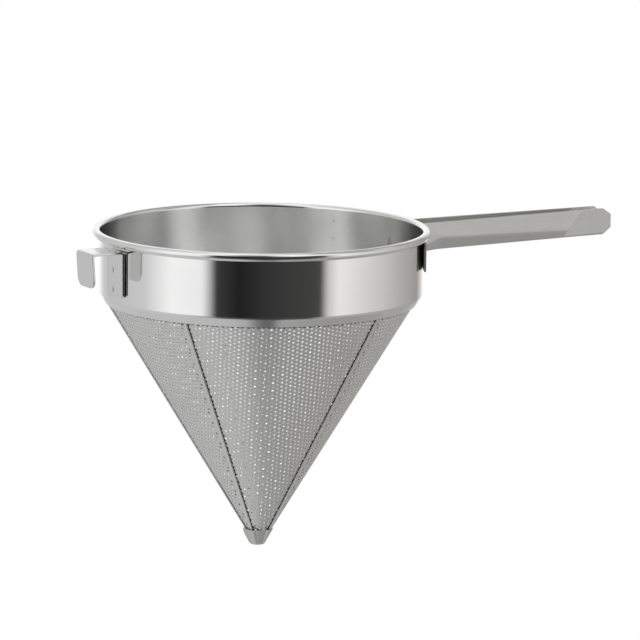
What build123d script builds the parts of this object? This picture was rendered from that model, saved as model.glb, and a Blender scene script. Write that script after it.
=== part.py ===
from build123d import *
from math import atan2, ceil, copysign, cos, degrees, hypot, radians, sin, sqrt, tan
import os

os.makedirs("parts", exist_ok=True)

# A chinois: a steel collar with a rolled rim, a perforated cone of five hemmed panels, a pressed tip,
# an open channel handle along +X and a pot hook opposite. Millimetres, degrees.
# The origin is the centre of the rim's top plane; the cone hangs down along -Z.

# Collar
collar_radius = 125.0
collar_sheet = 0.8
collar_height = 50.4
fold_radius = 5.0
lip_height = 6.6

# Rolled rim
bead_diameter = 6.3
bead_flats = 16
wire_flats = 8
wire_clearance = 0.1
curl_gap = 0.4

# Cone
cone_half_angle = 31.1
cone_sheet = 0.6
lap_clearance = 0.25
lap_angle = 2.5
hem_width = 4.5
panel_top_gap = 0.5
seam_angles = (-278.0, -201.5, -146.6, -71.1, 5.4, 82.0)

# Perforation, at a coarser pitch than the real sheet but with its open share
hole_pitch = 18.0
hole_size = 5.6
hole_margin = 2.0
perforation_angle = -114.6

# Tip cap
cap_height = 13.0
cap_sheet = 0.8
cap_clearance = 0.25
cap_lap = 4.0
cap_end_radius = 4.4
cap_end_fillet = 3.6
cap_chords = 5
cap_end_steps = 3

# Handle
handle_sheet = 1.5
handle_end = 316.5
handle_top_drop = 4.5
handle_root_height = 22.7
handle_tip_height = 21.3
handle_root_width = 25.0
handle_tip_width = 14.8
foot_inset = 3.5
ridge_bulge = 2.2
end_bulge = 0.1
ridge_root_drop = 12.2
ridge_tip_drop = 15.8
ridge_start = 154.0
ridge_end = 274.0
end_tilt = 42.0
root_flare = 3.5
root_rise_length = 7.0
end_chamfer_top = (7.6, 5.0)
end_chamfer_bottom = (7.4, 5.6)

# Handle flanges
flange_sheet = 1.5
flange_height = 22.6
flange_seat_gap = 0.3
flange_lift_angle = 35.5
flange_end_angle = 41.5
flange_end_tilt = 10.0
rim_clearance = 0.5

# Hook
hook_width = 27.0
hook_sheet = 2.0
hook_seat_gap = 0.1
hook_top_drop = 8.6
hook_plate_bottom = 44.6
hook_tab_bottom = 35.8
hook_reach = 27.6
hook_tab_lean = 3.3
hook_bend_radius = 3.0
hook_tab_corner = 7.0
hook_plate_corner = 3.0

# Spot welds
weld_radius = 2.8
weld_rise = 0.3
weld_sides = 12
handle_weld_angles = (-33.8, -20.5, 20.5, 33.8)
handle_weld_drops = (11.5, 26.0)
hook_weld_drops = (24.5, 39.9)
hook_weld_offset = 4.5
seam_angle = 47.5
seam_groove = 0.4

overrun = 5.0

# Sizes that follow from the ones above
cone_tan = tan(radians(cone_half_angle))
cone_cos = cos(radians(cone_half_angle))
cone_sin = sin(radians(cone_half_angle))
lap_rise = 2 * cone_sheet + lap_clearance
lip_level = lap_rise + lap_clearance + collar_sheet
apex_depth = collar_height + (collar_radius - lip_level / cone_cos) / cone_tan
lip_depth = collar_height + lip_height
panel_top = -(collar_height + fold_radius * tan(radians(cone_half_angle / 2)) + panel_top_gap)
cap_level = lap_rise + cap_clearance + cap_sheet
cap_bottom = -(apex_depth + cap_level / cone_sin - cap_end_radius / cone_tan)
cap_top = cap_bottom + cap_height
panel_bottom = cap_top - cap_lap
bead_radius = bead_diameter / 2
bead_centre = collar_radius - collar_sheet + bead_radius
sector_reach = 2 * collar_radius
quarter_turn = 90


def cone_radius(z, level):
    """Radius at height z of the cone that lies a normal distance above the under panels' outer face."""
    return (apex_depth + z) * cone_tan + level / cone_cos


def ray(angle, length):
    return (length * cos(radians(angle)), length * sin(radians(angle)))


def between(first, last, share):
    return first + (last - first) * share


# Collar: rolled rim, straight wall, folded-in lip; many flats round the rim keep the mesh light
with BuildPart() as collar:
    with BuildSketch(Plane.XZ) as collar_section:
        with BuildLine():
            wall = FilletPolyline(
                (collar_radius, -bead_radius),
                (collar_radius, -collar_height),
                (cone_radius(-lip_depth, lip_level), -lip_depth),
                radius=fold_radius,
            )
            offset(wall, amount=collar_sheet, side=Side.RIGHT)
        make_face()
        with Locations((bead_centre, -bead_radius)):
            RegularPolygon(bead_radius, bead_flats)
            RegularPolygon(bead_radius - collar_sheet, wire_flats, mode=Mode.SUBTRACT)
        with Locations((collar_radius + curl_gap / 2, -bead_radius - bead_radius / 2)):
            Rectangle(curl_gap, bead_radius, mode=Mode.SUBTRACT)
    revolve(axis=Axis.Z)
    # The joint of the band shows as a fine groove on the inside
    with BuildSketch(Plane.XY.offset(-collar_height)):
        with Locations(Rotation(0, 0, seam_angle) * Pos(collar_radius - collar_sheet, 0)):
            Rectangle(seam_groove, seam_groove)
    extrude(amount=collar_height - bead_diameter, mode=Mode.SUBTRACT)
collar.part.label = "collar"
export_step(collar.part, "parts/collar.step")


# Wire inside the rolled rim
with BuildPart() as rim_wire:
    with BuildSketch(Plane.XZ):
        with Locations((bead_centre, -bead_radius)):
            RegularPolygon(bead_radius - collar_sheet - wire_clearance, wire_flats)
    revolve(axis=Axis.Z)
rim_wire.part.label = "rim_wire"
export_step(rim_wire.part, "parts/rim_wire.step")


def shell_shift(start, end, start_level, end_level):
    """Sideways shift of a cone's axis that lifts its wall from one level to another between two angles."""
    half_span = radians(end - start) / 2
    lift = (end_level - start_level) / 2 / cone_cos / sin(half_span)
    return ray((start + end) / 2 + quarter_turn, lift)


def cone_shell(start, end, start_level, end_level, sheet):
    """The whole round of a cone wall that rises from one level to another between two angles."""
    shift = shell_shift(start, end, start_level, end_level)
    level = (start_level + end_level) / 2
    with BuildPart() as shell:
        with BuildSketch(Plane(origin=(*shift, 0), x_dir=(1, 0, 0), z_dir=(0, -1, 0))):
            with BuildLine():
                Polyline(
                    (cone_radius(panel_top, level), panel_top),
                    (cone_radius(panel_bottom, level), panel_bottom),
                    (cone_radius(panel_bottom, level - sheet), panel_bottom),
                    (cone_radius(panel_top, level - sheet), panel_top),
                    close=True,
                )
            make_face()
        revolve(axis=Axis((*shift, 0), (0, 0, 1)))
    return shell.part


def standing_on(*outline):
    """A block over a plan outline, as high as the panels."""
    with BuildPart() as block:
        with BuildSketch(Plane.XY.offset(panel_bottom - overrun)):
            with BuildLine():
                Polyline(*outline, close=True)
            make_face()
        extrude(amount=panel_top - panel_bottom + 2 * overrun)
    return block.part


def hem(start, end, start_level, end_level, edge, inward):
    """The strip of double sheet along a panel's folded edge; inward is +1 or -1."""
    side = ray(edge + quarter_turn * inward, hem_width)
    tip = ray(edge, sector_reach)
    with BuildPart() as strip:
        add(cone_shell(start, end, start_level, end_level, 2 * cone_sheet))
        add(standing_on((0, 0), tip, (tip[0] + side[0], tip[1] + side[1]), side), mode=Mode.INTERSECT)
    return strip.part


def hole_places(start, end, start_margin, end_margin):
    """Angle and slant distance of each hole: staggered rows on the flat sheet, rolled onto the cone."""
    slant_low = (apex_depth + cap_top) / cone_cos + hole_size / 2 + hole_margin
    slant_high = (apex_depth - lip_depth) / cone_cos - hole_size / 2 - hole_margin
    column_step = hole_pitch * sqrt(3) / 2
    columns = ceil(slant_high / column_step)
    rows = ceil(slant_high / hole_pitch)
    places = []
    for column in range(-columns, columns + 1):
        for row in range(-rows, rows + 1):
            across = column * column_step
            along = (row + column % 2 / 2) * hole_pitch
            slant = hypot(across, along)
            angle = perforation_angle + degrees(atan2(across, along)) / cone_sin
            if not (slant_low < slant < slant_high and start < angle < end):
                continue
            radius = slant * cone_sin
            if radius * sin(radians(angle - start)) < start_margin:
                continue
            if radius * sin(radians(end - angle)) < end_margin:
                continue
            places.append((angle, slant))
    return places


def cone_panel(name, start, end, start_over, end_over):
    """One panel; an over edge is hemmed and lies on its neighbour, an under edge runs on beneath it."""
    levels = (lap_rise * start_over, lap_rise * end_over)
    low = start - lap_angle * (1 - start_over)
    high = end + lap_angle * (1 - end_over)
    fan = [ray(between(low, high, share), sector_reach) for share in (0, 1 / 2, 1)]
    start_margin = hole_size / 2 + hole_margin + hem_width * start_over
    end_margin = hole_size / 2 + hole_margin + hem_width * end_over
    hole_height = hole_size * cone_cos
    with BuildPart() as panel:
        add(cone_shell(start, end, *levels, cone_sheet))
        add(standing_on((0, 0), *fan), mode=Mode.INTERSECT)
        if start_over:
            add(hem(start, end, *levels, start, 1))
        if end_over:
            add(hem(start, end, *levels, end, -1))
        for angle, slant in hole_places(start, end, start_margin, end_margin):
            radius = slant * cone_sin
            height = slant * cone_cos - apex_depth
            half_turn = degrees(hole_size / 2 / radius)
            with BuildSketch(Plane.XY.offset(height - hole_height / 2)):
                with BuildLine():
                    Polyline(
                        ray(angle - half_turn, radius - hole_size),
                        ray(angle - half_turn, radius + hole_size),
                        ray(angle + half_turn, radius + hole_size),
                        ray(angle + half_turn, radius - hole_size),
                        close=True,
                    )
                make_face()
            extrude(amount=hole_height, mode=Mode.SUBTRACT)
    panel.part.label = name
    return panel.part


# Cone panels, in order round the cone: name, and whether the start and end edges lie over or under
panel_edges = (
    ("back_left_panel", 0, 1),
    ("left_panel", 0, 1),
    ("front_panel", 0, 0),
    ("right_panel", 1, 0),
    ("back_right_panel", 1, 1),
)
panels = []
for index, (name, start_over, end_over) in enumerate(panel_edges):
    start, end = seam_angles[index:index + 2]
    panels.append((start, end, start_over, end_over))
    export_step(cone_panel(name, start, end, start_over, end_over), f"parts/{name}.step")


def cap_edge_turn(cover, over):
    """How far the cap's outline starts inside a seam; an over edge is passed, with a riser beyond it."""
    distance = -cover if over else cover + cap_sheet
    return degrees(distance / cone_radius(panel_bottom, 0))


def cap_section(height, cone_height, cover, pull):
    """One outline of the cap; the steps at the panels' seams fade out below the panels' ends."""
    fade = min(1, (height - cap_bottom) / (panel_bottom - cap_bottom))
    points = []
    for start, end, start_over, end_over in panels:
        low = start + cap_edge_turn(cover, start_over)
        high = end - cap_edge_turn(cover, end_over)
        for chord in range(cap_chords + 1):
            angle = between(low, high, chord / cap_chords)
            swing = sin(radians(angle - (start + end) / 2)) / sin(radians(end - start) / 2)
            rise = lap_rise * between(start_over, end_over, (1 + swing) / 2)
            level = cover + between(lap_rise, rise, fade)
            points.append(ray(angle, cone_radius(cone_height, level) - pull))
    with BuildSketch(Plane.XY.offset(height)) as section:
        with BuildLine():
            Polyline(*points, close=True)
        make_face()
    return section.sketch


def cap_form(top, cover, end_rounding):
    """The cap's outer form or its hollow: stepped over the panels, round at its end."""
    centre = cap_bottom + cap_end_fillet
    with BuildPart() as form:
        add(cap_section(top, top, cover, 0))
        add(cap_section(panel_bottom, panel_bottom, cover, 0))
        for step in range(cap_end_steps + 1):
            turn = radians(between(cone_half_angle, quarter_turn, step / cap_end_steps))
            pull = end_rounding * (1 / cone_cos - cos(turn))
            add(cap_section(centre - end_rounding * sin(turn), centre, cover, pull))
        loft(ruled=True)
    return form.part


# Tip cap: a small cup pressed over the panels' lower ends
with BuildPart() as tip_cap:
    add(cap_form(cap_top, cap_clearance + cap_sheet, cap_end_fillet))
    add(cap_form(cap_top + overrun, cap_clearance, cap_end_fillet - cap_sheet), mode=Mode.SUBTRACT)
tip_cap.part.label = "tip_cap"
export_step(tip_cap.part, "parts/tip_cap.step")


# Handle: an open channel with a ridge along each wall, flat at the end, with flanges on the collar
handle_root = collar_radius - overrun
flange_inner = collar_radius + flange_seat_gap
flange_top = -bead_diameter - rim_clearance
flange_start = degrees(atan2(handle_root_width / 2 + root_flare - handle_sheet, flange_inner))


def channel_section(x, bulge, inset, flare, tilt):
    """The channel's cross-section where its ridge lies at x; a tilted one leans out toward its top."""
    share = (x - collar_radius) / (handle_end - collar_radius)
    ridge_share = (x - ridge_start) / (ridge_end - ridge_start)
    half = between(handle_root_width, handle_tip_width, share) / 2
    ridge_drop = handle_top_drop + between(ridge_root_drop, ridge_tip_drop, ridge_share)
    foot_drop = handle_top_drop + between(handle_root_height, handle_tip_height, share)
    stretch = 1 / cos(radians(tilt))
    top, ridge, foot = -handle_top_drop * stretch, -ridge_drop * stretch, -foot_drop * stretch
    belly = half + bulge + flare
    floor = half - inset + flare
    origin = (x + ridge_drop * tan(radians(tilt)), 0, 0)
    with BuildSketch(Plane(origin=origin, x_dir=(0, 1, 0), z_dir=(1, 0, -tan(radians(tilt))))) as section:
        with BuildLine():
            Polyline(
                (half, top),
                (belly, ridge),
                (floor, foot),
                (-floor, foot),
                (-belly, ridge),
                (-half, top),
                (-half + handle_sheet, top),
                (-belly + handle_sheet, ridge),
                (-floor + handle_sheet, foot + handle_sheet),
                (floor - handle_sheet, foot + handle_sheet),
                (belly - handle_sheet, ridge),
                (half - handle_sheet, top),
                close=True,
            )
        make_face()
    return section.sketch


def flange_band(side):
    """A strip round the collar on one side (+1 or -1) of the handle; its end stands off the collar."""
    arc_start = ray(side * flange_start, flange_inner)
    arc_middle = ray(side * (flange_start + flange_lift_angle) / 2, flange_inner)
    arc_end = ray(side * flange_lift_angle, flange_inner)
    run = flange_inner * radians(flange_end_angle - flange_lift_angle)
    lift = ray(side * (flange_lift_angle + quarter_turn - flange_end_tilt), run)
    with BuildPart() as band:
        with BuildSketch(Plane.XY.offset(flange_top - flange_height)):
            with BuildLine():
                ThreePointArc(arc_start, arc_middle, arc_end)
                Line(arc_end, (arc_end[0] + lift[0], arc_end[1] + lift[1]))
                offset(amount=flange_sheet, side=Side.RIGHT if side > 0 else Side.LEFT)
            make_face()
        extrude(amount=flange_height)
    return band.part


def end_corner(level, along, up):
    """The corner that a chamfer takes off the handle's end, run on past its end and its edge."""
    beyond = level - copysign(overrun, up)
    with BuildPart() as corner:
        with BuildSketch(Plane.XZ):
            with BuildLine():
                Polyline(
                    (handle_end + overrun, level + up),
                    (handle_end, level + up),
                    (handle_end - along, level),
                    (handle_end - along, beyond),
                    (handle_end + overrun, beyond),
                    close=True,
                )
            make_face()
        extrude(amount=handle_root_width, both=True)
    return corner.part


root_section = channel_section(handle_root, end_bulge, 0, root_flare, 0)
ridge_start_section = channel_section(ridge_start, ridge_bulge, foot_inset, 0, 0)
ridge_end_section = channel_section(ridge_end, ridge_bulge / 2, foot_inset / 2, 0, end_tilt)
end_section = channel_section(handle_end, end_bulge, 0, 0, 0)

with BuildPart() as handle:
    add([root_section, ridge_start_section, ridge_end_section, end_section])
    loft(ruled=True)
    add(end_corner(-handle_top_drop, end_chamfer_top[0], -end_chamfer_top[1]), mode=Mode.SUBTRACT)
    add(end_corner(-handle_top_drop - handle_tip_height, *end_chamfer_bottom), mode=Mode.SUBTRACT)
    with Locations((0, 0, -handle_top_drop - handle_root_height / 2)):
        Cylinder(flange_inner, 2 * handle_root_height, mode=Mode.SUBTRACT)
    add([flange_band(1), flange_band(-1)])
    # The root passes under the rim's bead, then rises to the handle's full height
    with BuildSketch(Plane.XZ):
        with BuildLine():
            Polyline(
                (0, overrun),
                (0, flange_top),
                (bead_centre + bead_radius + rim_clearance, flange_top),
                (bead_centre + bead_radius + root_rise_length, -handle_top_drop),
                (bead_centre + bead_radius + root_rise_length, overrun),
                close=True,
            )
        make_face()
    revolve(axis=Axis.Z, mode=Mode.SUBTRACT)
handle.part.label = "handle"
export_step(handle.part, "parts/handle.step")


# Hook: one bent strip, welded to the collar opposite the handle
hook_face = collar_radius + hook_seat_gap
tab_top = -hook_face - hook_reach
hook_outline = (
    (-hook_face, -hook_plate_bottom),
    (-hook_face, -hook_top_drop),
    (tab_top, -hook_top_drop),
    (tab_top + (hook_tab_bottom - hook_top_drop) * tan(radians(hook_tab_lean)), -hook_tab_bottom),
)
with BuildPart() as hook:
    with BuildSketch(Plane.XZ):
        with BuildLine():
            FilletPolyline(*hook_outline, radius=hook_bend_radius)
            offset(amount=hook_sheet, side=Side.LEFT)
        make_face()
    extrude(amount=hook_width / 2, both=True)
    corners = hook.edges().filter_by(GeomType.LINE).group_by(SortBy.LENGTH)[0].sort_by(Axis.X)
    fillet(corners[:2], hook_tab_corner)
    plate_corners = hook.faces().sort_by(Axis.Z)[0].edges().filter_by(Axis.X)
    fillet(plate_corners, hook_plate_corner)
hook.part.label = "hook"
export_step(hook.part, "parts/hook.step")


# Spot-weld marks on the flanges and on the hook's plate
with BuildPart() as handle_welds:
    for angle in handle_weld_angles:
        for drop in handle_weld_drops:
            foot = (*ray(angle, flange_inner + flange_sheet), -drop)
            with BuildSketch(Plane(origin=foot, x_dir=(0, 0, 1), z_dir=(*ray(angle, 1), 0))):
                RegularPolygon(weld_radius, weld_sides)
    extrude(amount=weld_rise)
handle_welds.part.label = "handle_welds"
export_step(handle_welds.part, "parts/handle_welds.step")

with BuildPart() as hook_welds:
    with BuildSketch(Plane.YZ.offset(-hook_face - hook_sheet)):
        for drop in hook_weld_drops:
            with Locations((hook_weld_offset, -drop)):
                RegularPolygon(weld_radius, weld_sides)
    extrude(amount=-weld_rise)
hook_welds.part.label = "hook_welds"
export_step(hook_welds.part, "parts/hook_welds.step")
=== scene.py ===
from math import atan2, ceil, cos, degrees, hypot, pi, radians, sin, sqrt, tan

import bpy
from mathutils import Matrix, Vector


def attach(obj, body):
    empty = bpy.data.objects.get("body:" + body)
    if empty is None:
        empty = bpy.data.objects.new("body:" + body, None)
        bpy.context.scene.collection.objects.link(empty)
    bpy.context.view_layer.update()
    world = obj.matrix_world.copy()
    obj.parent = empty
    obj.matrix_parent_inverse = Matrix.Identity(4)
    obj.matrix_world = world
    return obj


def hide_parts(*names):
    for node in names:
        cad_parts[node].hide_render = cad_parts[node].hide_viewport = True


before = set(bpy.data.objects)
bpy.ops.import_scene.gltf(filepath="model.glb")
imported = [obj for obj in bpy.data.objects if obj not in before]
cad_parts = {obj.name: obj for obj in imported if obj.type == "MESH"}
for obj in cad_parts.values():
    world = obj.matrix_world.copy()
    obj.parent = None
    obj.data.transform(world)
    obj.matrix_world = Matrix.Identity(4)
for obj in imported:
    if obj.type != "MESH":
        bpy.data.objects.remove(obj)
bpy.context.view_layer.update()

# A chinois in polished and satin steel: perforation at its real pitch, rolled rim,
# lapped panels, folded handle.
# Metres and degrees. The frame's origin is the centre of the rim's top plane, +X runs along the handle.

MM = 0.001

# Sizes shared with the solids
collar_radius = 125.0 * MM
collar_sheet = 0.8 * MM
collar_height = 50.4 * MM
fold_radius = 5.0 * MM
lip_height = 6.6 * MM
bead_radius = 3.15 * MM
bead_centre = collar_radius - collar_sheet + bead_radius
bead_outer = collar_radius - collar_sheet + 2 * bead_radius
cone_half_angle = 31.1
cone_sheet = 0.6 * MM
lap_clearance = 0.25 * MM
hem_width = 4.5 * MM
seam_angles = (-278.0, -201.5, -146.6, -71.1, 5.4, 82.0)
perforation_angle = -114.6
panel_top_gap = 0.5 * MM
cap_height = 13.0 * MM
cap_sheet = 0.8 * MM
cap_clearance = 0.25 * MM
cap_lap = 4.0 * MM
cap_end_radius = 4.4 * MM
cap_end_fillet = 3.6 * MM

# Handle
handle_sheet = 1.5 * MM
handle_end = 316.5 * MM
handle_top = -4.5 * MM
handle_root_height = 22.7 * MM
handle_tip_height = 21.3 * MM
handle_root_width = 25.0 * MM
handle_tip_width = 14.8 * MM
foot_inset = 3.5 * MM
handle_fold = 1.6 * MM
ridge_bulge = 2.2 * MM
ridge_root_drop = 12.2 * MM
ridge_tip_drop = 15.8 * MM
ridge_start = 154.0 * MM
ridge_end = 274.0 * MM
end_tilt = 42.0
root_flare = 3.5 * MM
root_rise_length = 7.0 * MM
end_chamfer_top = (7.6 * MM, 5.0 * MM)
end_chamfer_bottom = (7.4 * MM, 5.6 * MM)
flange_gap = 0.3 * MM
flange_radius = collar_radius + flange_gap + handle_sheet
flange_top = -6.8 * MM
flange_height = 22.6 * MM
flange_lift_angle = 35.5
flange_end_angle = 41.5
flange_end_tilt = 10.0

# Hook
hook_width = 27.0 * MM
hook_sheet = 2.0 * MM
hook_gap = 0.1 * MM
hook_face = collar_radius + hook_gap
hook_top = -8.6 * MM
hook_plate_bottom = -44.6 * MM
hook_tab_bottom = -35.8 * MM
hook_reach = 27.6 * MM
hook_tab_lean = 3.3
hook_bend_radius = 3.0 * MM
hook_tab_corner = 7.0 * MM
hook_plate_corner = 3.0 * MM
hook_edge = 0.9 * MM

# Marks inside the collar, behind the handle's spot welds, and the band's joint
inner_mark_angles = (-33.8, -20.5, 20.5, 33.8)
inner_mark_heights = (-11.5 * MM, -26.0 * MM)
inner_mark_radius = 1.3 * MM
inner_mark_sides = 12
inner_mark_rise = 0.25 * MM
inner_mark_seat = 0.02 * MM
joint_angle = 47.5
joint_width = 0.35 * MM
joint_rise = 0.05 * MM

# Perforation at its real pitch, and where the sheet stays plain
hole_pitch = 3.95 * MM
hole_radius = 1.05 * MM
plain_hem = 3.5 * MM
plain_edge = 3.0 * MM
cell_points = 12
cell_turn = 360 / cell_points
# A lapped sheet runs on this far beneath its neighbour's hem
lap_run = 6.0 * MM
# Corners of cells nearer to each other than this are one point
merge_grid = 0.05 * MM

# Hems: the round nose stands proud and slopes back, under and over the sheet, this far from the edge
hem_nose = 0.8 * MM
nose_under_run = 2 * hem_nose
nose_over_run = 2.2 * hem_nose
hem_layer_gap = 0.02 * MM
hem_skin = 0.01 * MM

# Painted shade: dark strips beside the hems and under the lip, where the gaps lie in shadow; where a strip is
# narrowest it ends under the hem
shade_strip_width = 0.9 * MM
shade_strip_mean = 0.7
shade_strip_swing = 0.6
shade_strip_long_wave = 1.7
shade_strip_tuck = 0.5 * MM
shade_strip_draw_back = 0.4 * MM
shade_strip_lift = 0.04 * MM
shade_strip_steps = 480
# This seam, near the silhouette, has its painted shade only near the tip
shade_strip_shares = {"left_panel_start_solder": 0.22}
# The lip hides the panel from the photo's eye level this share of its height farther down the slant
lip_shade_share = 0.87

cone_tan = tan(radians(cone_half_angle))
cone_cos = cos(radians(cone_half_angle))
cone_sin = sin(radians(cone_half_angle))
lap_rise = 2 * cone_sheet + lap_clearance
lip_level = lap_rise + lap_clearance + collar_sheet
apex_depth = collar_height + (collar_radius - lip_level / cone_cos) / cone_tan
lip_depth = collar_height + lip_height
panel_top = -(collar_height + fold_radius * tan(radians(cone_half_angle / 2)) + panel_top_gap)
cap_level = lap_rise + cap_clearance + cap_sheet
cap_bottom = -(apex_depth + cap_level / cone_sin - cap_end_radius / cone_tan)
cap_top = cap_bottom + cap_height
panel_bottom = cap_top - cap_lap


# Materials

def steel(name, colour, roughness, grain, mottle, bump, metallic=1.0, streak=0.0, blotch=(35, 35, 35)):
    """Steel with a mottled tone and a fine grain; grain and blotch stretch their noise in x, y and z.
    A streak is the polish that runs round the axis and draws reflections out along it."""
    material = bpy.data.materials.new(name)
    material.use_nodes = True
    tree = material.node_tree
    shader = tree.nodes["Principled BSDF"]
    shader.inputs["Metallic"].default_value = metallic
    if streak:
        polish = tree.nodes.new("ShaderNodeTangent")
        polish.direction_type = "RADIAL"
        polish.axis = "Z"
        shader.inputs["Anisotropic"].default_value = streak
        shader.inputs["Anisotropic Rotation"].default_value = 0.25
        tree.links.new(polish.outputs["Tangent"], shader.inputs["Tangent"])
    place = tree.nodes.new("ShaderNodeTexCoord")
    stretch = tree.nodes.new("ShaderNodeMapping")
    stretch.inputs["Scale"].default_value = grain
    tree.links.new(place.outputs["Object"], stretch.inputs["Vector"])
    fine = tree.nodes.new("ShaderNodeTexNoise")
    fine.inputs["Scale"].default_value = 1.0
    fine.inputs["Detail"].default_value = 4.0
    tree.links.new(stretch.outputs["Vector"], fine.inputs["Vector"])
    broad = tree.nodes.new("ShaderNodeTexNoise")
    broad.inputs["Scale"].default_value = 1.0
    broad.inputs["Detail"].default_value = 2.0
    spread = tree.nodes.new("ShaderNodeMapping")
    spread.inputs["Scale"].default_value = blotch
    tree.links.new(place.outputs["Object"], spread.inputs["Vector"])
    tree.links.new(spread.outputs["Vector"], broad.inputs["Vector"])
    tone = tree.nodes.new("ShaderNodeMix")
    tone.data_type = "RGBA"
    tone.inputs["A"].default_value = (*[c * (1 - mottle) for c in colour], 1)
    tone.inputs["B"].default_value = (*[min(1.0, c * (1 + mottle)) for c in colour], 1)
    tree.links.new(broad.outputs["Fac"], tone.inputs["Factor"])
    tree.links.new(tone.outputs["Result"], shader.inputs["Base Color"])
    gloss = tree.nodes.new("ShaderNodeMapRange")
    gloss.inputs["To Min"].default_value = roughness * 0.8
    gloss.inputs["To Max"].default_value = roughness * 1.2
    tree.links.new(fine.outputs["Fac"], gloss.inputs["Value"])
    tree.links.new(gloss.outputs["Result"], shader.inputs["Roughness"])
    relief = tree.nodes.new("ShaderNodeBump")
    relief.inputs["Strength"].default_value = bump
    relief.inputs["Distance"].default_value = 0.1 * MM
    tree.links.new(fine.outputs["Fac"], relief.inputs["Height"])
    tree.links.new(relief.outputs["Normal"], shader.inputs["Normal"])
    return material


polished = steel("polished_steel", (0.90, 0.90, 0.89), 0.09, (60, 60, 60), 0.03, 0.05)
inner_steel = steel("inner_steel", (0.88, 0.88, 0.87), 0.17, (60, 60, 60), 0.12, 0.03, streak=0.9,
                    blotch=(28, 28, 1.5))
perforated = steel("perforated_steel", (0.80, 0.80, 0.785), 0.32, (900, 900, 900), 0.05, 0.08)
hem_steel = steel("hem_steel", (0.92, 0.92, 0.91), 0.30, (900, 900, 900), 0.04, 0.10, metallic=0.5)
satin = steel("satin_steel", (0.71, 0.71, 0.69), 0.42, (60, 500, 500), 0.04, 0.04, metallic=0.75)
strip_steel = steel("strip_steel", (0.87, 0.87, 0.865), 0.16, (80, 80, 80), 0.02, 0.02)
cap_steel = steel("cap_steel", (0.70, 0.70, 0.685), 0.22, (400, 400, 400), 0.05, 0.15)
weld_steel = steel("weld_steel", (0.80, 0.80, 0.79), 0.22, (900, 900, 900), 0.06, 0.2)
# Dark steel for the strips of painted shade beside the hems and under the lip
painted_shade_steel = steel("painted_shade_steel", (0.16, 0.16, 0.155), 0.5, (900, 900, 900), 0.05, 0.1)


# Mesh helpers

def piece(name, vertices, faces, material, slot, nodes, crease=30, trim=None, trim_from=0):
    """A piece that rides the part; faces from trim_from on have the trim material."""
    mesh = bpy.data.meshes.new(name)
    mesh.from_pydata(vertices, [], faces)
    mesh.update()
    mesh.shade_smooth()
    mesh.set_sharp_from_angle(angle=radians(crease))
    mesh.materials.append(material)
    if trim:
        mesh.materials.append(trim)
        for polygon in mesh.polygons[trim_from:]:
            polygon.material_index = 1
    shown = bpy.data.objects.new(name, mesh)
    bpy.context.scene.collection.objects.link(shown)
    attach(shown, "root")
    if nodes:
        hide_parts(*nodes)
    return shown


def thicken(shown, thickness, edge=0.3 * MM, fold=0.0):
    """Gives a surface its sheet, inward, and softens the edges, and the folds where they have a radius."""
    if fold:
        bend = shown.modifiers.new("fold", "BEVEL")
        bend.width = fold
        bend.segments = 4
        bend.limit_method = "ANGLE"
        bend.angle_limit = radians(12)
    sheet = shown.modifiers.new("sheet", "SOLIDIFY")
    sheet.thickness = thickness
    sheet.offset = -1
    sheet.use_even_offset = True
    round_edge = shown.modifiers.new("edge", "BEVEL")
    round_edge.width = edge
    round_edge.segments = 3
    round_edge.limit_method = "ANGLE"
    round_edge.angle_limit = radians(25)
    round_edge.harden_normals = True


def ray(angle, length):
    """The x and y of a point at an angle and a distance from the axis."""
    return (length * cos(radians(angle)), length * sin(radians(angle)))


def between(first, last, share):
    return first + (last - first) * share


def arc(centre, radius, start, end, steps):
    """Points along an arc from one angle to another."""
    points = []
    for step in range(steps + 1):
        turn = radians(start + (end - start) * step / steps)
        points.append((centre[0] + radius * cos(turn), centre[1] + radius * sin(turn)))
    return points


def lathe(outline, steps):
    """Turns a closed outline of (radius, height) points about the axis; each side's faces come together."""
    vertices = []
    faces = []
    count = len(outline)
    for step in range(steps):
        for radius, height in outline:
            vertices.append((*ray(360 * step / steps, radius), height))
    for index in range(count):
        following = (index + 1) % count
        for step in range(steps):
            here = step * count
            after = (step + 1) % steps * count
            faces.append((here + index, here + following, after + following, after + index))
    return vertices, faces


def cone_radius(z, level):
    """The radius, at a height, of a cone that lies a level outside the lowest panel's outer face."""
    return (apex_depth + z) * cone_tan + level / cone_cos


# Collar with its rolled rim and folded lip

collar_steps = 360
# The wall starts below the middle of the rolled rim by this share of its radius
wall_start_share = 0.72


def collar_outline():
    half_turn = radians(cone_half_angle / 2)
    inner_fold = fold_radius - collar_sheet
    fold_centre = (collar_radius - fold_radius, -collar_height + fold_radius * tan(half_turn))
    rim = (bead_centre, -bead_radius)
    points = arc(rim, bead_radius, 180, -126, 40)
    points.append((collar_radius, -bead_radius - bead_radius * wall_start_share))
    points += arc(fold_centre, fold_radius, 0, -cone_half_angle, 10)
    points.append((cone_radius(-lip_depth, lip_level), -lip_depth))
    points.append((cone_radius(-lip_depth, lip_level - collar_sheet), -lip_depth))
    points += arc(fold_centre, inner_fold, -cone_half_angle, 0, 10)
    return points


def collar():
    """The band's sheet; the outline's last side, its inner wall, has the streaked polish."""
    vertices, faces = lathe(collar_outline(), collar_steps)
    piece("collar_sheet", vertices, faces, polished, "polished_sheet", ["collar"],
          trim=inner_steel, trim_from=len(faces) - collar_steps)


collar()


# Perforated panels

def level_at(angle, start, end, start_level, end_level):
    """A panel's level over the cone at an angle, as if the stiff sheet were shifted sideways."""
    half = radians(end - start) / 2
    swing = sin(radians(angle) - radians((start + end) / 2)) / sin(half)
    return (start_level + end_level) / 2 + (end_level - start_level) / 2 * swing


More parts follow.
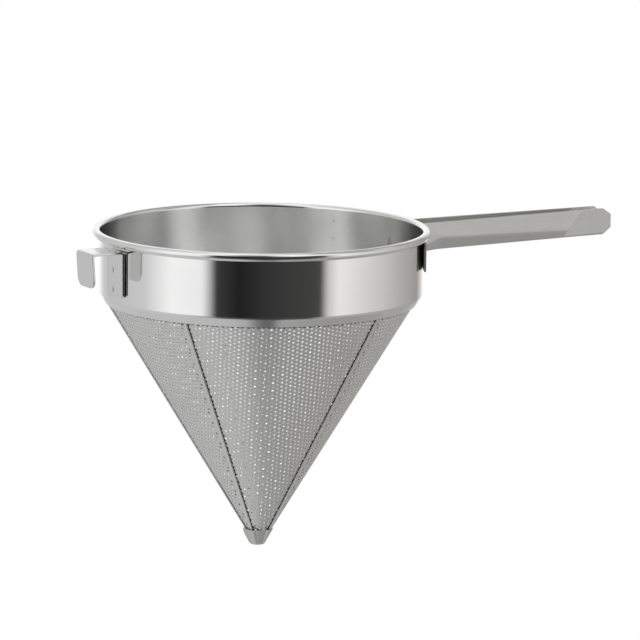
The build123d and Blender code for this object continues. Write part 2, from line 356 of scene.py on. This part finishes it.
class Panel:
    """One lapped panel: its angles, its levels at both edges and the flat sheet's coordinates."""

    def __init__(self, start, end, start_over, end_over):
        self.start = start
        self.end = end
        self.over = (start_over, end_over)
        self.levels = (lap_rise * start_over, lap_rise * end_over)
        # The plain sheet stops short of a hemmed edge, and runs on beneath a lapped one
        self.inset = (cone_sheet if start_over else -lap_run, cone_sheet if end_over else -lap_run)
        self.slants = ((apex_depth + panel_bottom) / cone_cos, (apex_depth + panel_top) / cone_cos)

    def polar(self, u, v):
        """The angle and the slant distance from the apex of a point of the flat sheet."""
        return (perforation_angle + degrees(atan2(u, v)) / cone_sin, hypot(u, v))

    def edge_distances(self, angle, slant):
        """How far a place lies from both seams, along the cone."""
        radius = slant * cone_sin
        return (radius * radians(angle - self.start), radius * radians(self.end - angle))

    def point(self, u, v, depth=0.0):
        """The place on the cone of a point of the flat sheet, kept inside the panel's edges."""
        angle, slant = self.polar(u, v)
        slant = min(max(slant, self.slants[0]), self.slants[1])
        radius = slant * cone_sin
        low = self.start + degrees(self.inset[0] / radius)
        high = self.end - degrees(self.inset[1] / radius)
        angle = min(max(angle, low), high)
        return self.on_cone(angle, slant, depth)

    def on_cone(self, angle, slant, depth):
        """The place at an angle and a slant distance, a depth below the panel's outer face."""
        level = level_at(angle, self.start, self.end, *self.levels) - depth
        radius = slant * cone_sin + level * cone_cos
        return (*ray(angle, radius), slant * cone_cos - apex_depth - level * cone_sin)


def hexagon_rim(u, v):
    """Corners and mid-sides of the sheet's cell round a hole, as twelve points."""
    half_pitch = hole_pitch / 2
    corner = half_pitch / cos(radians(30))
    points = []
    for index in range(cell_points):
        reach = corner if index % 2 == 0 else half_pitch
        turn = radians(cell_turn * index)
        points.append((u + reach * cos(turn), v + reach * sin(turn)))
    return points


def hole_room(panel, angle, slant):
    """How far a place lies inside the area with holes; negative where the sheet stays plain."""
    start_gap, end_gap = panel.edge_distances(angle, slant)
    start_plain = plain_hem if panel.over[0] else panel.inset[0] + plain_edge
    end_plain = plain_hem if panel.over[1] else panel.inset[1] + plain_edge
    above_foot = slant - panel.slants[0] - plain_edge
    below_top = panel.slants[1] - plain_edge - slant
    return min(start_gap - start_plain, end_gap - end_plain, above_foot, below_top)


def panel_sheet(panel):
    """Vertices and faces of one face of the perforated sheet."""
    vertices = []
    faces = []
    known = {}

    def vertex(u, v):
        key = (round(u / merge_grid), round(v / merge_grid))
        if key not in known:
            known[key] = len(vertices)
            vertices.append((u, v))
        return known[key]

    column_step = hole_pitch * sqrt(3) / 2
    reach = panel.slants[1] + hole_pitch
    for column in range(-ceil(reach / column_step), ceil(reach / column_step) + 1):
        for row in range(-ceil(reach / hole_pitch), ceil(reach / hole_pitch) + 1):
            u = column * column_step
            v = (row + column % 2 / 2) * hole_pitch
            angle, slant = panel.polar(u, v)
            if not panel.slants[0] - hole_pitch * 0.5 < slant < panel.slants[1] + hole_pitch * 0.5:
                continue
            start_gap, end_gap = panel.edge_distances(angle, slant)
            if min(start_gap - panel.inset[0], end_gap - panel.inset[1]) < -hole_pitch * 0.5:
                continue
            rim = [vertex(*point) for point in hexagon_rim(u, v)]
            if hole_room(panel, angle, slant) < 0:
                faces.append(rim)
                continue
            hole = []
            for index in range(cell_points):
                turn = radians(cell_turn * index)
                hole.append(len(vertices))
                vertices.append((u + hole_radius * cos(turn), v + hole_radius * sin(turn)))
            for index in range(cell_points):
                following = (index + 1) % cell_points
                faces.append((rim[index], rim[following], hole[following], hole[index]))
    return vertices, faces


def thick_sheet(panel, flat_vertices, faces):
    """Both faces of the sheet and the walls of its holes and edges."""
    count = len(flat_vertices)
    outside = [panel.point(u, v) for u, v in flat_vertices]
    inside = [panel.point(u, v, cone_sheet) for u, v in flat_vertices]
    open_sides = {}
    for face in faces:
        for index, first in enumerate(face):
            second = face[(index + 1) % len(face)]
            if (second, first) in open_sides:
                del open_sides[(second, first)]
            else:
                open_sides[(first, second)] = True
    solid = [tuple(face) for face in faces]
    solid += [tuple(count + index for index in reversed(face)) for face in faces]
    solid += [(second, first, count + first, count + second) for first, second in open_sides]
    return outside + inside, solid


def hem_strip(panel, edge):
    """The folded edge: a round nose and the turned-back layer under the sheet."""
    outline = []
    for distance, depth in arc((hem_nose, cone_sheet), hem_nose, 90, 270, 10):
        outline.append((distance, 2 * cone_sheet - depth))
    outline.append((nose_under_run, 2 * cone_sheet))
    outline.append((hem_width, 2 * cone_sheet))
    outline.append((hem_width, cone_sheet + hem_layer_gap))
    outline.append((nose_over_run, cone_sheet + hem_layer_gap))
    outline.append((nose_over_run, -hem_skin))
    steps = 40
    vertices = []
    faces = []
    for step in range(steps + 1):
        slant = panel.slants[0] + (panel.slants[1] - panel.slants[0]) * step / steps
        for distance, depth in outline:
            turn = degrees(distance / (slant * cone_sin))
            angle = panel.start + turn if edge == 0 else panel.end - turn
            vertices.append(panel.on_cone(angle, slant, depth))
    count = len(outline)
    for step in range(steps):
        for index in range(count):
            following = (index + 1) % count
            here = step * count
            after = here + count
            faces.append((here + index, here + following, after + following, after + index))
    faces.append(tuple(reversed(range(count))))
    faces.append(tuple(steps * count + index for index in range(count)))
    if edge == 0:
        faces = [tuple(reversed(face)) for face in faces]
    return vertices, faces


def uneven(place, phase):
    """The width of the painted shade strip at a place along its line: it comes and goes with the holes."""
    long_wave = sin(2 * pi * place / (shade_strip_long_wave * hole_pitch) + phase)
    wave = sin(2 * pi * place / hole_pitch) + shade_strip_swing * long_wave
    return max(-shade_strip_draw_back, shade_strip_width * (shade_strip_mean + shade_strip_swing * wave))


def strip_faces(steps, turned):
    """Faces along a strip whose points come in pairs."""
    faces = []
    for step in range(steps):
        corners = (2 * step, 2 * step + 1, 2 * step + 3, 2 * step + 2)
        faces.append(tuple(reversed(corners)) if turned else corners)
    return faces


def lap_painted_shade(panel, edge, length_share):
    """The dark, uneven line of painted shade beside a neighbour's hem, where its gap lies in shadow, from the
    tip upward.
    """
    vertices = []
    for step in range(shade_strip_steps + 1):
        slant = between(panel.slants[0], panel.slants[1], length_share * step / shade_strip_steps)
        for distance in (-shade_strip_tuck, uneven(slant, edge)):
            turn = degrees(distance / (slant * cone_sin))
            angle = panel.start + turn if edge == 0 else panel.end - turn
            vertices.append(panel.on_cone(angle, slant, -shade_strip_lift))
    return vertices, strip_faces(shade_strip_steps, edge == 1)


def lip_painted_shade(panel):
    """The dark, uneven row of painted shade where the panel goes in under the collar's lip, in the lip's
    shadow.
    """
    lip_slant = (apex_depth - lip_depth + lip_level * cone_sin) / cone_cos
    vertices = []
    for step in range(shade_strip_steps + 1):
        angle = between(panel.start, panel.end, step / shade_strip_steps)
        height = lip_level - level_at(angle, panel.start, panel.end, *panel.levels)
        along = lip_slant * cone_sin * radians(angle)
        for slant in (lip_slant - lip_shade_share * height - uneven(along, 1), lip_slant):
            vertices.append(panel.on_cone(angle, slant, -shade_strip_lift))
    return vertices, strip_faces(shade_strip_steps, True)


def panel_piece(name, start, end, start_over, end_over):
    panel = Panel(start, end, start_over, end_over)
    vertices, faces = thick_sheet(panel, *panel_sheet(panel))
    sheet_faces = len(faces)
    for edge in (0, 1):
        if panel.over[edge]:
            more, strip = hem_strip(panel, edge)
            first = len(vertices)
            vertices += more
            faces += [tuple(first + index for index in face) for face in strip]
    piece(name + "_sheet", vertices, faces, perforated, "perforated_sheet", [name],
          trim=hem_steel, trim_from=sheet_faces)
    # Strips of painted shade beside the neighbours' hems
    for edge in (0, 1):
        if not panel.over[edge]:
            line = name + ("_start_solder", "_end_painted_shade")[edge]
            vertices, faces = lap_painted_shade(panel, edge, shade_strip_shares.get(line, 1))
            piece(line, vertices, faces, painted_shade_steel, "perforated_sheet", [])
    # A row of painted shade under the lip
    piece(name + "_lip_painted_shade", *lip_painted_shade(panel), painted_shade_steel, "perforated_sheet", [])


panel_piece("back_left_panel", seam_angles[0], seam_angles[1], 0, 1)
panel_piece("left_panel", seam_angles[1], seam_angles[2], 0, 1)
panel_piece("front_panel", seam_angles[2], seam_angles[3], 0, 0)
panel_piece("right_panel", seam_angles[3], seam_angles[4], 1, 0)
panel_piece("back_right_panel", seam_angles[4], seam_angles[5], 1, 1)


# Tip cap, pressed over the panels' ends: it steps at their seams and ends round

panel_edges = ((0, 1), (0, 1), (0, 0), (1, 0), (1, 1))
cap_chords = 24
cap_round_steps = 12
cap_swell = 2.4 * MM
cap_swell_angle = 150.5
cap_swell_fade_share = 0.8
cap_seat = 0.05 * MM


def cap_ring(height, cone_height, cover, pull):
    """One outline of the cap; the steps fade out below the panels' ends."""
    fade = min(1, (height - cap_bottom) / (panel_bottom - cap_bottom))
    share_up = (height - cap_bottom) / cap_height
    swell = cap_swell * (1 - cap_swell_fade_share * share_up ** 3)
    points = []
    for index, (start_over, end_over) in enumerate(panel_edges):
        start, end = seam_angles[index:index + 2]
        turns = []
        for over in (start_over, end_over):
            distance = -cover if over else cover + cap_sheet
            turns.append(degrees(distance / cone_radius(panel_bottom, 0)))
        for chord in range(cap_chords + 1):
            angle = between(start + turns[0], end - turns[1], chord / cap_chords)
            rise = level_at(angle, start, end, lap_rise * start_over, lap_rise * end_over)
            level = cover + between(lap_rise, rise, fade)
            lean = (1 + cos(radians(angle - cap_swell_angle))) / 2
            points.append((*ray(angle, cone_radius(cone_height, level) - pull + swell * lean), height))
    return points


def cap_rings(cover, rounding):
    """Outlines of the cap's outside or inside, from its top to the middle of its end."""
    rings = []
    for height in (cap_top, between(cap_top, panel_bottom, 0.5), panel_bottom):
        rings.append(cap_ring(height, height, cover, 0))
    centre = cap_bottom + cap_end_fillet
    for step in range(cap_round_steps + 1):
        turn = radians(between(cone_half_angle, 90, step / cap_round_steps))
        pull = rounding * (1 / cone_cos - cos(turn))
        rings.append(cap_ring(centre - rounding * sin(turn), centre, cover, pull))
    return rings


def tip_cap():
    outside = cap_rings(cap_clearance + cap_sheet, cap_end_fillet)
    inside = cap_rings(cap_seat, cap_end_fillet - cap_sheet)
    rings = list(reversed(inside)) + outside
    count = len(rings[0])
    vertices = [point for ring in rings for point in ring]
    faces = []
    for row in range(len(rings) - 1):
        for index in range(count):
            following = (index + 1) % count
            here = row * count
            after = here + count
            faces.append((here + index, after + index, after + following, here + following))
    faces.append(tuple(range(count)))
    faces.append(tuple((len(rings) - 1) * count + index for index in reversed(range(count))))
    piece("tip_cap_shell", vertices, faces, cap_steel, "tip_sheet", ["tip_cap"], crease=22)


tip_cap()


# Handle: one folded sheet with a ridge along each wall, flat at its end, and two flanges

def along_handle(x):
    """The share of the handle's length at x, from the collar to its end."""
    return (x - collar_radius) / (handle_end - collar_radius)


def half_width(x):
    return between(handle_root_width, handle_tip_width, along_handle(x)) / 2


def foot(x):
    return handle_top - between(handle_root_height, handle_tip_height, along_handle(x))


def wall_points(side):
    """Corners of one wall's outer face, by name; side is +1 or -1 across the handle."""
    root_half = half_width(collar_radius) + root_flare
    root_x = sqrt(flange_radius ** 2 - root_half ** 2)
    rise_x = bead_outer + root_rise_length
    ridge_tip = handle_top - ridge_tip_drop
    lean = tan(radians(end_tilt))
    end_top_x = ridge_end + ridge_tip_drop * lean
    end_foot_x = ridge_end - (ridge_tip - foot(ridge_end)) * lean
    return {
        "root_top": (root_x, side * root_half, flange_top),
        "root_foot": (root_x, side * root_half, foot(root_x)),
        "rise": (rise_x, side * half_width(rise_x), handle_top),
        "top": (ridge_start, side * half_width(ridge_start), handle_top),
        "ridge": (ridge_start, side * (half_width(ridge_start) + ridge_bulge), handle_top - ridge_root_drop),
        "foot": (ridge_start, side * (half_width(ridge_start) - foot_inset), foot(ridge_start)),
        "end_top": (end_top_x, side * half_width(end_top_x), handle_top),
        "ridge_end": (ridge_end, side * (half_width(ridge_end) + ridge_bulge / 2), ridge_tip),
        "end_foot": (end_foot_x, side * (half_width(end_foot_x) - foot_inset / 2), foot(end_foot_x)),
        "chamfer_foot": (handle_end - end_chamfer_bottom[0], side * half_width(handle_end), foot(handle_end)),
        "tip_low": (handle_end, side * half_width(handle_end), foot(handle_end) + end_chamfer_bottom[1]),
        "tip_high": (handle_end, side * half_width(handle_end), handle_top - end_chamfer_top[1]),
        "chamfer_top": (handle_end - end_chamfer_top[0], side * half_width(handle_end), handle_top),
    }


def handle():
    facets = (
        ("root_top", "root_foot", "ridge"),
        ("root_foot", "foot", "ridge"),
        ("root_top", "ridge", "top", "rise"),
        ("ridge", "ridge_end", "end_top", "top"),
        ("foot", "end_foot", "ridge_end", "ridge"),
        ("end_foot", "chamfer_foot", "tip_low", "tip_high", "chamfer_top", "end_top", "ridge_end"),
    )
    keel = ("root_foot", "foot", "end_foot", "chamfer_foot")
    vertices = []
    faces = []
    places = []
    for side in (-1, 1):
        walls = wall_points(side)
        names = {name: len(vertices) + index for index, name in enumerate(walls)}
        vertices += list(walls.values())
        places.append(names)
        for facet in facets:
            corners = [names[name] for name in facet]
            faces.append(tuple(corners) if side < 0 else tuple(reversed(corners)))
    near, far = places
    for first, second in zip(keel, keel[1:]):
        faces.append((near[first], far[first], far[second], near[second]))
    channel = piece("handle_channel", vertices, faces, satin, "handle_sheet", ["handle"], crease=5)
    thicken(channel, handle_sheet, fold=handle_fold)


def flange(side):
    """The band from the handle's root round the collar; its end stands off the wall."""
    start = degrees(atan2(handle_root_width / 2 + root_flare, collar_radius))
    steps = 24
    plan = []
    for step in range(steps + 1):
        plan.append(ray(side * between(start, flange_lift_angle, step / steps), flange_radius))
    run = flange_radius * radians(flange_end_angle - flange_lift_angle)
    lift = ray(side * (flange_lift_angle + 90 - flange_end_tilt), run)
    last = plan[-1]
    plan.append((last[0] + lift[0], last[1] + lift[1]))
    vertices = []
    for x, y in plan:
        vertices.append((x, y, flange_top))
        vertices.append((x, y, flange_top - flange_height))
    faces = []
    for step in range(len(plan) - 1):
        corners = (2 * step, 2 * step + 1, 2 * step + 3, 2 * step + 2)
        faces.append(corners if side > 0 else tuple(reversed(corners)))
    name = "flange_left" if side > 0 else "flange_right"
    thicken(piece(name, vertices, faces, satin, "handle_sheet", ["handle"]), handle_sheet)


handle()
flange(1)
flange(-1)


# Hook: a bent strip with rounded ends

def bent_path():
    """The strip's inner line from the plate's foot over the arm to the tab's end, with round bends."""
    tab_top = -hook_face - hook_reach
    tab_foot = tab_top + (hook_top - hook_tab_bottom) * tan(radians(hook_tab_lean))
    bend = hook_bend_radius
    path = [(-hook_face, hook_plate_bottom)]
    path += arc((-hook_face - bend, hook_top - bend), bend, 0, 90, 8)
    path += arc((tab_top + bend, hook_top - bend), bend, 90, 180 + hook_tab_lean, 8)
    path.append((tab_foot, hook_tab_bottom))
    return path


def spaced(path, step):
    """The path with more points along its straight stretches."""
    points = [path[0]]
    for first, second in zip(path, path[1:]):
        parts = max(1, round(hypot(second[0] - first[0], second[1] - first[1]) / step))
        for part in range(1, parts + 1):
            share = part / parts
            points.append((between(first[0], second[0], share), between(first[1], second[1], share)))
    return points


def end_half_width(distance, corner):
    """Half the strip's width at a distance from an end with rounded corners."""
    if distance > corner:
        return hook_width / 2
    return hook_width / 2 - corner + sqrt(corner ** 2 - (corner - distance) ** 2)


def hook():
    path = spaced(bent_path(), 0.5 * MM)
    lengths = [0.0]
    for first, second in zip(path, path[1:]):
        lengths.append(lengths[-1] + hypot(second[0] - first[0], second[1] - first[1]))
    vertices = []
    faces = []
    for (x, z), length in zip(path, lengths):
        plate_half = end_half_width(length, hook_plate_corner)
        tab_half = end_half_width(lengths[-1] - length, hook_tab_corner)
        half = min(plate_half, tab_half)
        vertices.append((x, -half, z))
        vertices.append((x, half, z))
    for step in range(len(path) - 1):
        faces.append((2 * step, 2 * step + 1, 2 * step + 3, 2 * step + 2))
    strip = piece("hook_strip", vertices, faces, strip_steel, "hook_sheet", ["hook"])
    thicken(strip, hook_sheet, edge=hook_edge)


hook()


# Marks inside the collar

def inner_marks():
    """Round marks on the inner wall behind the handle's spot welds."""
    radius = collar_radius - collar_sheet
    vertices = []
    faces = []
    for angle in inner_mark_angles:
        for height in inner_mark_heights:
            first = len(vertices)
            vertices.append((*ray(angle, radius - inner_mark_rise), height))
            for index in range(inner_mark_sides):
                turn = radians(360 / inner_mark_sides * index)
                across = degrees(inner_mark_radius * cos(turn) / radius)
                up_wall = inner_mark_radius * sin(turn)
                vertices.append((*ray(angle + across, radius - inner_mark_seat), height + up_wall))
            for index in range(inner_mark_sides):
                faces.append((first, first + 1 + (index + 1) % inner_mark_sides, first + 1 + index))
    piece("inner_weld_marks", vertices, faces, weld_steel, "welds", [])


def inner_joint():
    """The fine line of the band's joint on the inner wall."""
    radius = collar_radius - collar_sheet - joint_rise
    half_turn = degrees(joint_width / 2 / radius)
    vertices = []
    for height in (-2 * bead_radius, -collar_height):
        vertices.append((*ray(joint_angle - half_turn, radius), height))
        vertices.append((*ray(joint_angle + half_turn, radius), height))
    piece("collar_joint", vertices, [(0, 1, 3, 2)], weld_steel, "polished_sheet", [])


inner_marks()
inner_joint()


# Camera, fitted to the photograph

photo_turn = -29.5
camera_elevation = radians(10.089)
camera_roll = radians(0.631)
camera_distance = 3.5
camera_target = Vector((45.942 * MM, 0, -72.272 * MM))
camera_lens = 254.2
camera_sensor = 36.0


def photo_camera():
    """Set up in the photograph's own axes, then turned with them so that the handle lies along +X."""
    back = Vector((0, -cos(camera_elevation), sin(camera_elevation)))
    right = Vector((1, 0, 0))
    up = back.cross(right)
    turned_right = right * cos(camera_roll) + up * sin(camera_roll)
    turned_up = up * cos(camera_roll) - right * sin(camera_roll)
    place = camera_target + back * camera_distance
    camera = bpy.data.cameras.new("camera")
    camera.sensor_width = camera_sensor
    camera.lens = camera_lens
    camera.clip_end = 50
    viewer = bpy.data.objects.new("camera", camera)
    viewer.matrix_world = Matrix.Rotation(radians(photo_turn), 4, "Z") @ Matrix((
        (turned_right.x, turned_up.x, back.x, place.x),
        (turned_right.y, turned_up.y, back.y, place.y),
        (turned_right.z, turned_up.z, back.z, place.z),
        (0, 0, 0, 1),
    ))
    bpy.context.scene.collection.objects.link(viewer)
    bpy.context.scene.camera = viewer


photo_camera()


# Floor, backdrop and light

# Azimuth 0 of the cards and lamps lies toward the camera
studio_turn = photo_turn - 90
floor_height = -0.62
floor_reach = 6.0
card_radius = 2.0
card_foot = -0.60
card_top = 1.3
ceiling = (0.7, 2.2)
base_radius = 0.70
near_radius = 0.27
# The cards are a little warm on one side and a little cool on the other
warm_tint = (1.0, 0.985, 0.97)
cool_tint = (0.99, 1.0, 1.0)
warm_from_azimuth = 40


def seen_as(tree, shown, other):
    """Mixes two shaders: the first for what the camera, gloss and glass see, the other for the rest."""
    path = tree.nodes.new("ShaderNodeLightPath")
    seen = tree.nodes.new("ShaderNodeMath")
    seen.operation = "MAXIMUM"
    tree.links.new(path.outputs["Is Camera Ray"], seen.inputs[0])
    tree.links.new(path.outputs["Is Glossy Ray"], seen.inputs[1])
    both = tree.nodes.new("ShaderNodeMath")
    both.operation = "MAXIMUM"
    tree.links.new(seen.outputs[0], both.inputs[0])
    tree.links.new(path.outputs["Is Transmission Ray"], both.inputs[1])
    mix = tree.nodes.new("ShaderNodeMixShader")
    tree.links.new(both.outputs[0], mix.inputs["Fac"])
    tree.links.new(other.outputs[0], mix.inputs[1])
    tree.links.new(shown.outputs[0], mix.inputs[2])
    return mix


def studio_world():
    world = bpy.data.worlds.new("studio")
    bpy.context.scene.world = world
    world.use_nodes = True
    tree = world.node_tree
    tree.nodes.clear()
    white = tree.nodes.new("ShaderNodeBackground")
    white.inputs["Color"].default_value = (1, 1, 1, 1)
    soft = tree.nodes.new("ShaderNodeBackground")
    soft.inputs["Color"].default_value = (0.8, 0.8, 0.8, 1)
    soft.inputs["Strength"].default_value = 0.7
    output = tree.nodes.new("ShaderNodeOutputWorld")
    tree.links.new(seen_as(tree, white, soft).outputs[0], output.inputs["Surface"])


def floor():
    mesh = bpy.data.meshes.new("floor")
    signs = ((-1, -1), (1, -1), (1, 1), (-1, 1))
    corners = [(x * floor_reach, y * floor_reach, floor_height) for x, y in signs]
    mesh.from_pydata(corners, [], [(0, 1, 2, 3)])
    ground = bpy.data.objects.new("floor", mesh)
    bpy.context.scene.collection.objects.link(ground)
    material = bpy.data.materials.new("floor_paint")
    material.use_nodes = True
    tree = material.node_tree
    tree.nodes.clear()
    glow = tree.nodes.new("ShaderNodeEmission")
    glow.inputs["Color"].default_value = (1, 1, 1, 1)
    paint = tree.nodes.new("ShaderNodeBsdfDiffuse")
    paint.inputs["Color"].default_value = (0.8, 0.8, 0.8, 1)
    output = tree.nodes.new("ShaderNodeOutputMaterial")
    tree.links.new(seen_as(tree, glow, paint).outputs[0], output.inputs["Surface"])
    mesh.materials.append(material)


def tone_material(name, stops):
    """A glow whose tone follows the azimuth from the camera's side, by stops of azimuth and tone."""
    material = bpy.data.materials.new(name)
    material.use_nodes = True
    tree = material.node_tree
    tree.nodes.clear()
    place = tree.nodes.new("ShaderNodeTexCoord")
    axes = tree.nodes.new("ShaderNodeSeparateXYZ")
    tree.links.new(place.outputs["Object"], axes.inputs[0])
    turn = tree.nodes.new("ShaderNodeMath")
    turn.operation = "ARCTAN2"
    tree.links.new(axes.outputs["Y"], turn.inputs[0])
    tree.links.new(axes.outputs["X"], turn.inputs[1])
    share = tree.nodes.new("ShaderNodeMapRange")
    share.inputs["From Min"].default_value = -pi
    share.inputs["From Max"].default_value = pi
    tree.links.new(turn.outputs[0], share.inputs["Value"])
    ramp = tree.nodes.new("ShaderNodeValToRGB")
    tree.links.new(share.outputs["Result"], ramp.inputs["Fac"])
    stop_list = ramp.color_ramp.elements
    while len(stop_list) > 1:
        stop_list.remove(stop_list[-1])
    for index, (azimuth, tone) in enumerate(stops):
        place_on_ramp = (azimuth + 180) / 360
        stop = stop_list[0] if index == 0 else stop_list.new(place_on_ramp)
        stop.position = place_on_ramp
        tint = warm_tint if azimuth > warm_from_azimuth else cool_tint
        stop.color = (*[tone * part for part in tint], 1)
    glow = tree.nodes.new("ShaderNodeEmission")
    tree.links.new(ramp.outputs["Color"], glow.inputs["Color"])
    output = tree.nodes.new("ShaderNodeOutputMaterial")
    tree.links.new(glow.outputs[0], output.inputs["Surface"])
    return material


def ring(name, inner, outer, stops):
    """A studio card all round the object between two circles, each given as (radius, height)."""
    steps = 96
    vertices = []
    faces = []
    for step in range(steps):
        for radius, height in (inner, outer):
            vertices.append((*ray(360 * step / steps, radius), height))
    for step in range(steps):
        after = (step + 1) % steps
        faces.append((2 * step, 2 * after, 2 * after + 1, 2 * step + 1))
    mesh = bpy.data.meshes.new(name)
    mesh.from_pydata(vertices, [], faces)
    mesh.materials.append(tone_material(name, stops))
    shown = bpy.data.objects.new(name, mesh)
    shown.rotation_euler = (0, 0, radians(studio_turn))
    bpy.context.scene.collection.objects.link(shown)
    shown.visible_camera = False
    shown.visible_shadow = False


def lamp(name, azimuth, elevation, distance, size, power):
    """A square light that faces the object; it isn't mirrored in the steel."""
    light = bpy.data.lights.new(name, "AREA")
    light.size = size
    light.energy = power
    source = bpy.data.objects.new(name, light)
    out = Vector((*ray(azimuth + studio_turn, cos(radians(elevation))), sin(radians(elevation))))
    source.location = out * distance
    source.rotation_euler = out.to_track_quat("Z", "Y").to_euler()
    source.visible_glossy = False
    bpy.context.scene.collection.objects.link(source)


studio_world()
floor()
ring("surround", (card_radius, card_foot), (card_radius, card_top), (
    (-180, 1.0), (-160, 0.95), (-146, 0.62), (-132, 0.55), (-88, 0.62), (-64, 0.98), (-40, 0.92), (-36, 0.6),
    (-30, 0.04), (-14, 0.015), (6, 0.035), (42, 0.06), (48, 0.62), (56, 0.88), (84, 0.66), (114, 0.46),
    (144, 0.33), (164, 0.9), (180, 1.0)))
ring("overhead", (card_radius, card_top), ceiling, (
    (-180, 0.65), (-158, 0.95), (-125, 0.5), (-70, 0.8), (-40, 1.0), (-12, 0.2), (4, 0.15), (28, 1.0),
    (66, 0.85), (90, 0.2), (115, 0.65), (148, 0.2), (180, 0.65)))
ring("base_wide", (base_radius, card_foot), (card_radius, card_foot), (
    (-180, 0.60), (-130, 0.55), (-60, 0.60), (-40, 0.45), (-28, 0.12), (0, 0.05), (34, 0.08), (50, 0.45),
    (90, 0.42), (140, 0.38), (180, 0.60)))
ring("base_far", (near_radius, card_foot), (base_radius, card_foot), (
    (-180, 0.50), (-90, 0.55), (-30, 0.50), (-14, 0.42), (-4, 0.22), (4, 0.13), (12, 0.14), (20, 0.34),
    (26, 0.36), (60, 0.33), (90, 0.34), (130, 0.38), (180, 0.50)))
ring("base_near", (0.001, card_foot), (near_radius, card_foot), (
    (-180, 0.50), (-90, 0.58), (-40, 0.52), (0, 0.44), (30, 0.38), (90, 0.36), (130, 0.40), (180, 0.50)))
lamp("key", -60, 50, 2.0, 1.2, 6)
lamp("fill", 60, 40, 2.0, 1.2, 3)

bpy.context.scene.view_settings.view_transform = "Standard"


# The wire and the welds keep their solids' shapes and only get their steel

def dress(name, material):
    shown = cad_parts[name]
    shown.data.materials.clear()
    shown.data.materials.append(material)


dress("rim_wire", strip_steel)
dress("handle_welds", weld_steel)
dress("hook_welds", strip_steel)
